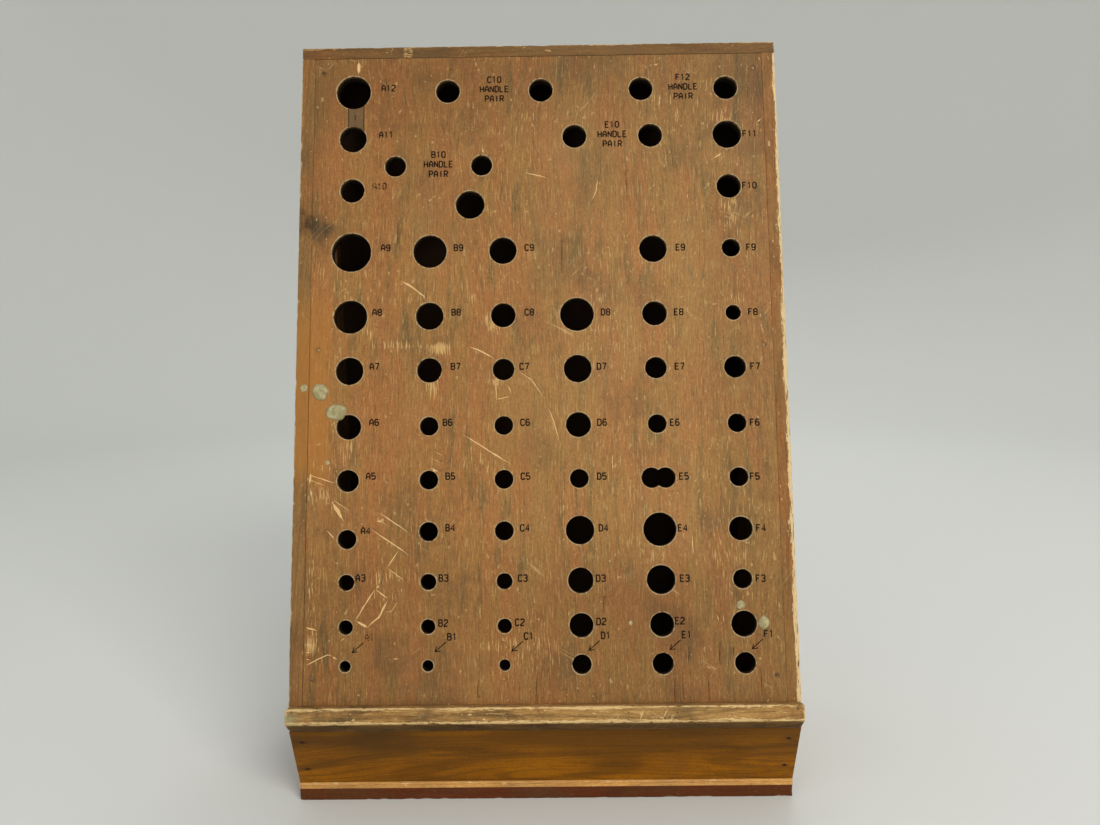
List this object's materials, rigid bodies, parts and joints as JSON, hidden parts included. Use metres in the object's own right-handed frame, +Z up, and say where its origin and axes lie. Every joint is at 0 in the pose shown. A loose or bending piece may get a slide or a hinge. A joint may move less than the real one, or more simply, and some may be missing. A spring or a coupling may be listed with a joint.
{
  "type": "tool display stand",
  "caption": "Free-standing counter stand with a leaning drilled wooden face for holding hand tools by their handles.",
  "frame": {"origin": "on the surface it stands on, under the middle of the bounding box", "axes": "+X to the right of the drilled face, +Y from the face to the back, +Z up"},
  "size_m": [0.508, 0.2534, 0.782],
  "materials": {
    "face_ply": "worn stained plywood, scratched, satin",
    "side_wood": "worn stained board, satin",
    "patch_wood": "let-in wood, stained darker",
    "rail_wood": "bare weathered wood, matt",
    "apron_wood": "amber varnish, satin",
    "floor_wood": "pale varnished edge, satin",
    "base_paint": "old red-brown paint, satin",
    "back_wood": "plain unfinished plywood, matt",
    "cleat_wood": "plain softwood, matt",
    "nail_steel": "dark oxidised steel"
  },
  "bodies": {
    "root": {"left_side": "side_wood", "right_side": "side_wood", "top_board": "side_wood", "back_panel": "back_wood", "base_board": "base_paint", "floor_panel": "floor_wood", "face_panel": "face_ply", "patch": "patch_wood", "patch_brad": "nail_steel", "nose_rail": "rail_wood", "apron": "apron_wood", "left_face_cleat": "cleat_wood", "right_face_cleat": "cleat_wood", "left_floor_cleat": "cleat_wood", "right_floor_cleat": "cleat_wood", "face_nails": "nail_steel", "apron_nails": "nail_steel", "rail_nails": "nail_steel", "top_nails": "nail_steel", "base_nails": "nail_steel", "back_pins": "nail_steel"}
  },
  "joints": []
}
